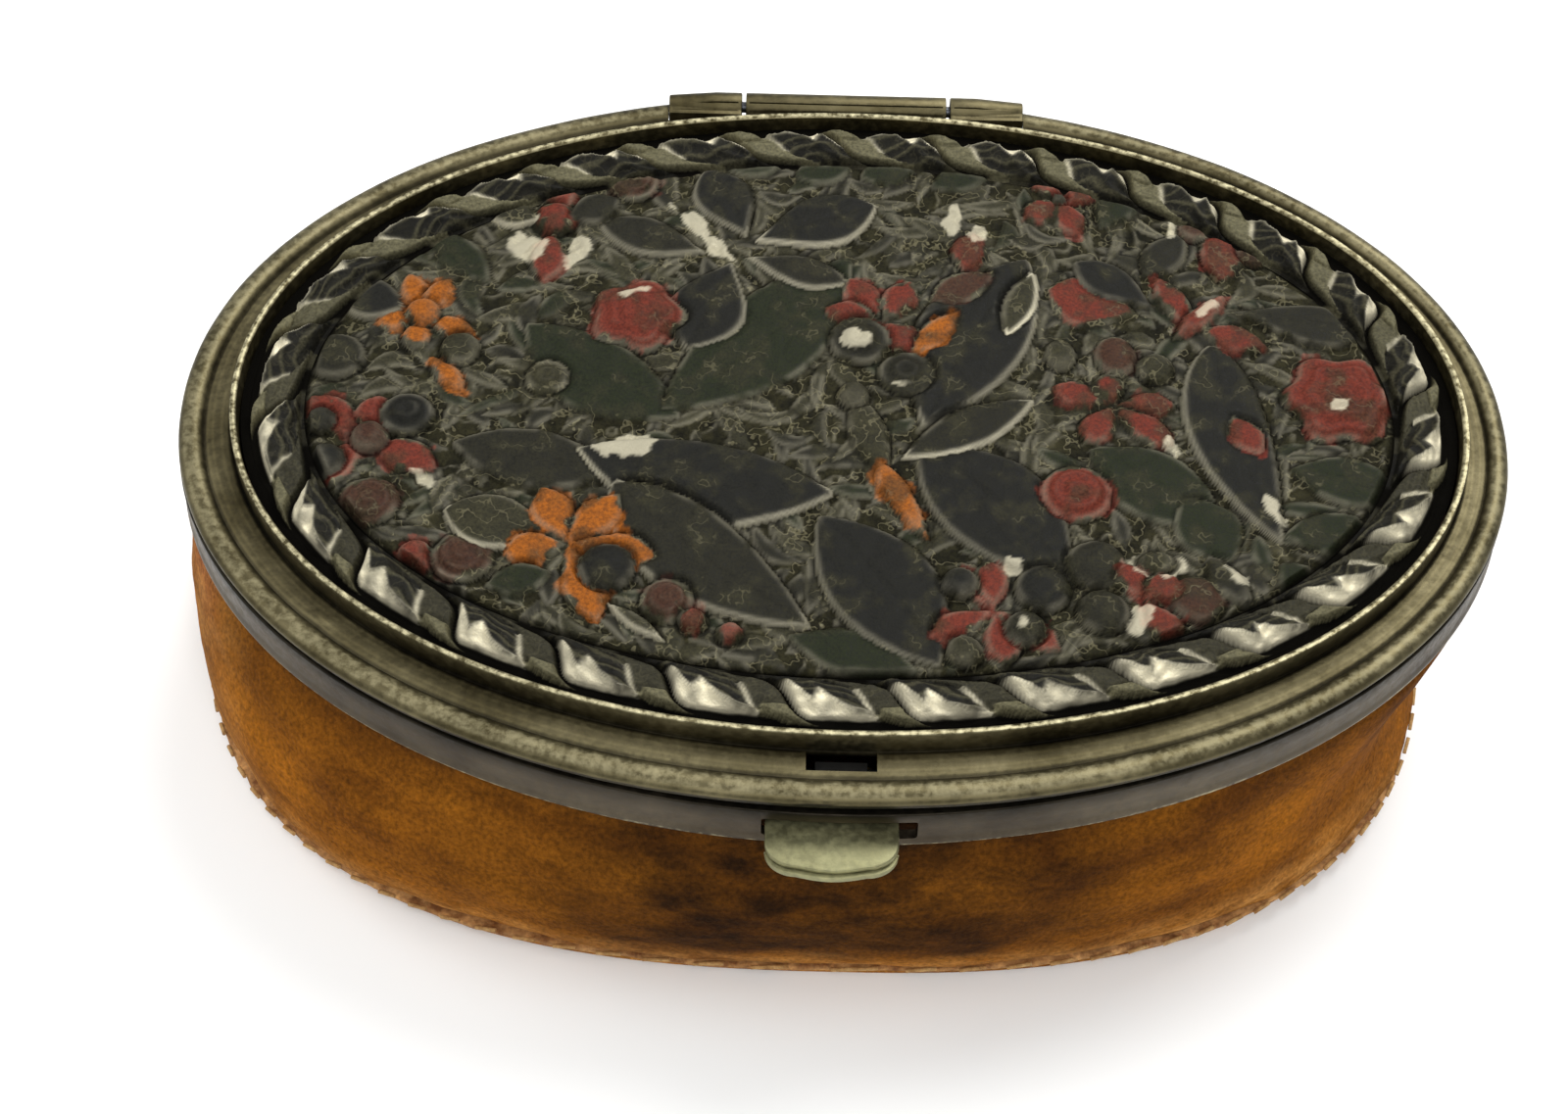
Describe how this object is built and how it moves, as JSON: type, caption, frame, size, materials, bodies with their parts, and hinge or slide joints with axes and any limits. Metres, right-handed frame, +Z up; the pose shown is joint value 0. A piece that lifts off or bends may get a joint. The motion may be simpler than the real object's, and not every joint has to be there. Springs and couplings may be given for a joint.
{
  "type": "trinket box",
  "caption": "Oval trinket purse: a hinged pressed-metal lid with a raised flower and butterfly panel closes over a metal ring and a small leather pouch, held by a thumb catch.",
  "frame": {"origin": "on the table, under the middle of the part's reach in length and depth", "axes": "+Z up through the lid, +X to the right along the oval's length, -Y towards the thumb catch, the hinge at +Y"},
  "size_m": [0.0892, 0.0644, 0.024],
  "materials": {
    "white_metal": "worn satin white metal with grey-brown tarnish",
    "tab_metal": "worn satin with a greenish tarnish",
    "dark_metal": "dark patina with red, orange and green paint rubbed into the relief",
    "back_metal": "plain, dull",
    "spring_steel": "blued, dull",
    "brass_fittings": "satin",
    "tan_leather": "suede, rubbed and stained dark in front",
    "pale_leather": "raw worn edge",
    "kid_lining": "thin kid, smooth and dull"
  },
  "bodies": {
    "base": {"base_ring": "white_metal", "clamp_ring": "back_metal", "base_knuckle": "white_metal", "hinge_pin": "spring_steel", "spring_block": "brass_fittings", "foot_rivet_left": "brass_fittings", "foot_rivet_right": "brass_fittings", "pouch_wall": "tan_leather", "pouch_base": "tan_leather", "seam_welt": "pale_leather", "pouch_lining": "kid_lining"},
    "lid": {"lid_rim": "white_metal", "lid_panel": "dark_metal", "lid_backplate": "back_metal", "lid_lining": "kid_lining", "lid_knuckle_left": "white_metal", "lid_knuckle_right": "white_metal"},
    "catch": {"catch_lever": "tab_metal", "catch_spring": "spring_steel", "lever_rivet_left": "brass_fittings", "lever_rivet_right": "brass_fittings"}
  },
  "joints": [
    {"name": "lid_hinge", "type": "hinge", "parent": "base", "child": "lid", "pos_m": [0.00028, 0.0302, 0.0222], "axis": [-1, 0, 0], "range_deg": [0, 108]},
    {"name": "catch_press", "type": "hinge", "parent": "base", "child": "catch", "pos_m": [-0.01572, -0.0234, 0.0187], "axis": [0, 0, 1], "range_deg": [0, 3.5], "stiffness_Nm_per_rad": 1.3, "springref_deg": -0.57}
  ]
}
